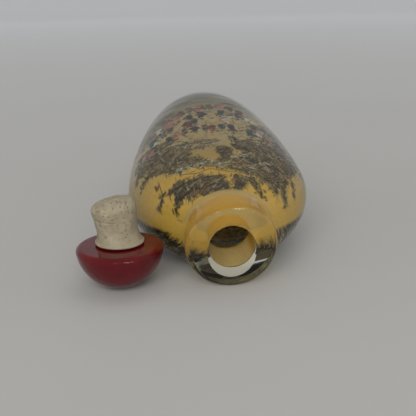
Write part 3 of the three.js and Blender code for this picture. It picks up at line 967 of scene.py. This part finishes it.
def build_cap():
    low, high = (np.array(c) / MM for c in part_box("stopper_cap"))
    radius = float(high[0] - low[0]) / 2
    height = float(high[2] - low[2])
    centre = [(low[0] + high[0]) / 2, (low[1] + high[1]) / 2, high[2]]
    edge = CAP_EDGE
    flat = math.sqrt(max(radius**2 - height**2, 0.01))
    start = math.asin(flat / radius)
    touch = math.asin(edge / (radius - edge))
    profile = [(0, -height), (0.5 * flat, -height)]
    for angle in np.linspace(start, math.pi / 2 - touch, 70):
        profile.append((radius * math.sin(angle), -radius * math.cos(angle)))
    middle = math.sqrt((radius - edge) ** 2 - edge**2)
    for turn in np.linspace(0.06 - touch, math.pi / 2, 14):
        profile.append((middle + edge * math.cos(turn), -edge + edge * math.sin(turn)))
    for r in (middle - 0.6, middle - 1.6, 5.0, 2.5):
        profile.append((r, 0))
    profile.append((0, 0))
    cap = lathe("stopper_dome", profile, centre, CAP_COLUMNS)
    cap.data.materials.append(cap_material())
    return cap


def build_cork():
    low, high = (np.array(c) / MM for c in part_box("stopper_cork"))
    foot_radius = float(high[1] - low[1]) / 2
    centre = [high[0] - foot_radius, (low[1] + high[1]) / 2, low[2]]
    waist, top, height, rounding, flare = CORK_WAIST, CORK_TOP, CORK_HEIGHT, CORK_ROUNDING, CORK_FLARE
    rim = foot_radius - CORK_EDGE
    profile = [(0, 0)]
    for r in (2.0, 4.0):
        profile.append((r, 0))
    for turn in np.linspace(0, math.pi, 9):
        profile.append((rim + CORK_EDGE * math.sin(turn), CORK_EDGE - CORK_EDGE * math.cos(turn)))
    for k in np.linspace(0.04, 1, 34):
        r = waist + (rim - waist) * (1 - k) ** 2
        profile.append((r, 2 * CORK_EDGE + (flare - 2 * CORK_EDGE) * k))
    shoulder = height - rounding
    for k in np.linspace(0.03, 1, 42):
        profile.append((waist + (top - waist) * k, flare + (shoulder - flare) * k))
    for turn in np.linspace(0.1, math.pi / 2, 12):
        profile.append((top - rounding * (1 - math.cos(turn)), shoulder + rounding * math.sin(turn)))
    for r in np.linspace(top - rounding - 0.3, 0.3, 12):
        profile.append((r, height + 0.05))
    profile.append((0, height + 0.05))
    random = np.random.default_rng(CORK_SEED)
    pits = np.column_stack([random.uniform(-math.pi, math.pi, PIT_COUNT),
                            height - random.uniform(0.0, 2.9, PIT_COUNT) ** 2,
                            random.uniform(0.12, 0.25, PIT_COUNT)])
    dots = random.uniform(-3.8, 3.8, (DOT_COUNT, 2))

    def rough(points):
        """Waves, pits, dots and a crease, then the lean and the sloping top."""
        x, y, z = points.T
        r = np.hypot(x, y)
        a = np.arctan2(y, x)
        wave = (0.06 * np.sin(3 * a + 0.9 * z) + 0.035 * np.sin(5 * a - 1.3 * z + 1)
                + 0.02 * np.sin(11 * a + 2.3 * z))
        sink = np.zeros_like(r)
        for pa, pz, size in pits:
            turn = (a - pa + math.pi) % (2 * math.pi) - math.pi
            gap = np.hypot(turn * r * 0.8, (z - pz))
            sink = np.maximum(sink, np.clip(1 - gap / size, 0, 1) * (z < height - 0.5))
        for px, py in dots:
            gap = np.hypot(x - px, y - py)
            sink = np.maximum(sink, np.clip(1 - gap / DOT_SIZE, 0, 1) * (z > height - 0.5))
        off_crease = (z - 5.6 - 0.25 * np.cos(a - 3.4)) / 0.16
        crease = 0.16 * np.exp(-off_crease ** 2) * np.clip(np.cos(a - 3.6), 0, 1)
        side = np.clip(r / 3.5, 0, 1) * np.clip(z / 0.8, 0, 1)
        new_r = r + side * (wave - PIT_DEPTH * smooth(0, 1, sink) - crease - 0.06)
        k = np.divide(new_r, r, out=np.ones_like(r), where=r > 1e-6)
        top_side = np.clip((z - height + 0.3) / 0.3, 0, 1)
        uneven = 0.08 * np.sin(1.7 * x + 0.5) * np.cos(1.9 * y)
        dip = top_side * (uneven - 0.12 - 0.16 * smooth(0.1, 0.9, sink))
        dip += CORK_DOME * np.clip(1 - (r / 3.4) ** 2, 0, 1) * top_side
        lift = CORK_SLOPE * x * np.clip(z / height, 0, 1) ** 4
        out = np.stack([x * k - CORK_LEAN * z, y * k, z + lift + dip], 1)
        return out, smooth(0.1, 0.9, sink)

    cork = lathe("stopper_plug", profile, centre, CORK_COLUMNS, rough)
    cork.data.materials.append(cork_material())
    return cork


# ---------------- floor, light, camera
FLOOR_GAP = 0.00005
WORLD_STRENGTH = 0.41
SOFTBOX_POWER = 31
OVERHEAD_POWER = 5
LAMP_BEARINGS = (-13, -9.5, 10, 13.5, 17, 21, 26, 31)
LAMP_RISE = 8
LAMP_DISTANCE = 1.2
LAMP_SIZE = (0.045, 0.045)
LAMP_POWER = 0.3


def build_floor():
    """A wide pale sheet, flat far beyond the object and sweeping up all round."""
    line = [(r, 0.0) for r in (0.02, 0.1, 0.3, 0.7, 1.3, 2.0)]
    for turn in np.linspace(0.1, 1.35, 12):
        line.append((2.0 + 1.6 * math.sin(turn), 1.6 - 1.6 * math.cos(turn)))
    columns = 96
    angles = np.linspace(0, 2 * math.pi, columns, endpoint=False)
    points = [(r * math.cos(a), r * math.sin(a), z - FLOOR_GAP) for r, z in line for a in angles]
    points.append((0, 0, -FLOOR_GAP))
    faces = [f[::-1] for f in skin_faces(len(line), columns)]
    centre = len(points) - 1
    faces += [(centre, i, (i + 1) % columns) for i in range(columns)]
    ob = make_object("floor_sheet", points, faces)
    ob.data.materials.append(floor_material())


def area_light(name, place, target, size, power, colour=(1, 1, 1)):
    data = bpy.data.lights.new(name, "AREA")
    data.shape = "RECTANGLE"
    data.size, data.size_y = size
    data.energy = power
    data.color = colour
    ob = bpy.data.objects.new(name, data)
    ob.location = place
    ob.rotation_mode = "QUATERNION"
    ob.rotation_quaternion = (Vector(target) - Vector(place)).to_track_quat("-Z", "Y")
    bpy.context.scene.collection.objects.link(ob)
    return ob


def build_lights():
    world = bpy.data.worlds.new("studio")
    world.use_nodes = True
    background = world.node_tree.nodes["Background"]
    background.inputs["Color"].default_value = (0.98, 0.99, 1.0, 1)
    background.inputs["Strength"].default_value = WORLD_STRENGTH
    bpy.context.scene.world = world
    softbox = area_light("softbox", (-0.3, -1.75, 1.05), (0, 0, 0.01), (1.7, 1.1), SOFTBOX_POWER)
    softbox.visible_glossy = False
    top = area_light("overhead", (0.3, 0.5, 2.2), (0, 0, 0), (1.8, 1.8), OVERHEAD_POWER)
    top.visible_glossy = False
    # small lamps that are there for their glints on lip, neck and cap
    far, rise = LAMP_DISTANCE, math.radians(LAMP_RISE)
    for bearing in LAMP_BEARINGS:
        turn = math.radians(bearing)
        place = (far * math.sin(turn), -far * math.cos(turn), far * math.sin(rise))
        lamp = area_light("lamp", place, (0, -0.03, 0.015), LAMP_SIZE, LAMP_POWER, (1.0, 0.97, 0.9))
        lamp.visible_diffuse = False
        lamp.visible_transmission = False
    bpy.context.scene.view_settings.view_transform = "Standard"


# Camera fitted to the photo's outlines, in millimetres and degrees
CAMERA_PLACE = (-12.327, -175.408, 61.226)
CAMERA_YAW = 5.39
CAMERA_PITCH = 17.03
CAMERA_ROLL = -1.23
CAMERA_LENS = 60.557


def build_camera():
    yaw, pitch, roll = (math.radians(a) for a in (CAMERA_YAW, CAMERA_PITCH, CAMERA_ROLL))
    forward = Vector((math.sin(yaw) * math.cos(pitch), math.cos(yaw) * math.cos(pitch), -math.sin(pitch)))
    level = forward.cross(Vector((0, 0, 1))).normalized()
    upright = level.cross(forward)
    right = level * math.cos(roll) + upright * math.sin(roll)
    up = upright * math.cos(roll) - level * math.sin(roll)
    data = bpy.data.cameras.new("camera")
    data.lens = CAMERA_LENS
    data.sensor_width = 36
    data.clip_start = 0.01
    data.clip_end = 10
    ob = bpy.data.objects.new("camera", data)
    turn = Matrix((right, up, -forward)).transposed().to_4x4()
    ob.matrix_world = Matrix.Translation(Vector(CAMERA_PLACE) * MM) @ turn
    bpy.context.scene.collection.objects.link(ob)
    bpy.context.scene.camera = ob


build_camera()
glass = build_glass()
painting = build_painting()
cap = build_cap()
cork = build_cork()
for piece in (glass, painting, cap, cork):
    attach(piece, "root")
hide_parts("bottle")
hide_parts("stopper_cap")
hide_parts("stopper_cork")
build_floor()
build_lights()
